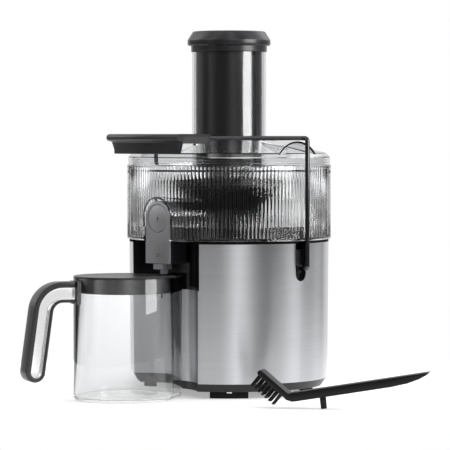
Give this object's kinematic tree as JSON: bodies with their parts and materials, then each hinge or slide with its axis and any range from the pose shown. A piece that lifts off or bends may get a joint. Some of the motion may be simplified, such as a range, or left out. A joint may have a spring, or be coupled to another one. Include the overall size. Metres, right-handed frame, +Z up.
{
  "type": "centrifugal juicer",
  "caption": "Upright centrifugal juicer: steel base, clear ribbed pulp bowl, feed tube with pusher, locking handle, drip-stop spout, lidded jug and cleaning brush.",
  "frame": {"origin": "on the table, where the machine's vertical axis meets it", "axes": "+Z up; the juice spout faces -Y; the mains inlet is at +Y; +X is the machine's right"},
  "size_m": [0.4441, 0.3704, 0.3991],
  "materials": {
    "steel": "horizontal fine brushing",
    "black_gloss": "glossy black moulding",
    "black_satin": "satin black moulding",
    "grey_plastic": "dark grey satin moulding",
    "silver_plastic": "silver-grey lacquered plastic",
    "pusher_grey": "glossy dark grey moulding",
    "clear_plastic": "clear tough plastic",
    "rod_metal": "dark polished steel",
    "bare_steel": "bright steel",
    "sieve_steel": "perforated stainless steel",
    "soft_rubber": "matt rubber",
    "copper": "enamelled copper",
    "lamination": "stacked steel sheet",
    "cast_alloy": "die-cast",
    "board": "circuit board"
  },
  "bodies": {
    "base": {"outer_shell": "steel", "inner_housing": "grey_plastic", "recess_backing": "grey_plastic", "recess_panel": "steel", "recess_surround": "black_gloss", "base_tray": "black_satin", "rubber_feet": "soft_rubber", "base_screws": "bare_steel", "top_deck": "black_satin", "shaft_seal": "soft_rubber", "pivot_bush_right": "grey_plastic", "pivot_bush_left": "grey_plastic", "cord_gland": "soft_rubber", "motor_stator": "lamination", "motor_coils": "copper", "motor_frame": "cast_alloy", "motor_screws": "bare_steel", "vibration_mounts": "soft_rubber", "upper_bearing": "bare_steel", "lower_bearing": "bare_steel", "brush_holders": "copper", "control_board": "board", "speed_switch": "black_satin", "lock_switch": "black_satin", "pulp_container": "clear_plastic", "juice_collector": "black_gloss", "spout_block": "grey_plastic", "spout_cover": "silver_plastic", "spout_nozzle": "silver_plastic", "lid": "clear_plastic", "lid_seal": "soft_rubber"},
    "rotor": {"motor_shaft": "bare_steel", "armature": "lamination", "commutator": "copper", "cooling_fan": "black_satin", "drive_coupling": "black_satin", "basket_hub": "black_satin", "sieve_cone": "sieve_steel", "basket_rim": "black_gloss", "grating_disc": "sieve_steel"},
    "pusher": {"pusher_body": "pusher_grey", "pusher_cap": "grey_plastic"},
    "locking_handle": {"lock_rod": "rod_metal", "lock_grip": "grey_plastic", "grip_screws": "bare_steel"},
    "speed_dial": {"speed_knob": "silver_plastic"},
    "drip_stop": {"drip_knob": "silver_plastic", "drip_valve": "soft_rubber"},
    "jug": {"jug_body": "clear_plastic", "jug_handle_core": "clear_plastic", "jug_grip": "grey_plastic", "jug_shoe": "grey_plastic", "jug_lid": "grey_plastic", "froth_separator": "clear_plastic"},
    "brush": {"brush_body": "black_satin", "brush_bristles": "black_satin"}
  },
  "joints": [
    {"name": "basket_spin", "type": "hinge", "parent": "base", "child": "rotor", "pos_m": [0, 0, 0.1], "axis": [0, 0, 1], "continuous": true},
    {"name": "pusher_lift", "type": "slide", "parent": "base", "child": "pusher", "axis": [0, 0, 1], "range_m": [0, 0.15]},
    {"name": "handle_swing", "type": "hinge", "parent": "base", "child": "locking_handle", "pos_m": [0, 0, 0.14], "axis": [1, 0, 0], "range_deg": [0, 38]},
    {"name": "dial_turn", "type": "hinge", "parent": "base", "child": "speed_dial", "pos_m": [-0.11, 0, 0.062], "axis": [1, 0, 0], "range_deg": [0, 100]},
    {"name": "drip_turn", "type": "hinge", "parent": "base", "child": "drip_stop", "pos_m": [0, -0.1, 0.194], "axis": [0, 1, 0], "range_deg": [0, 90]},
    {"name": "jug_slide", "type": "slide", "parent": "base", "child": "jug", "axis": [0, -1, 0], "range_m": [0, 0.15]},
    {"name": "brush_lift", "type": "slide", "parent": "base", "child": "brush", "axis": [0, 0, 1], "range_m": [0, 0.1]}
  ]
}
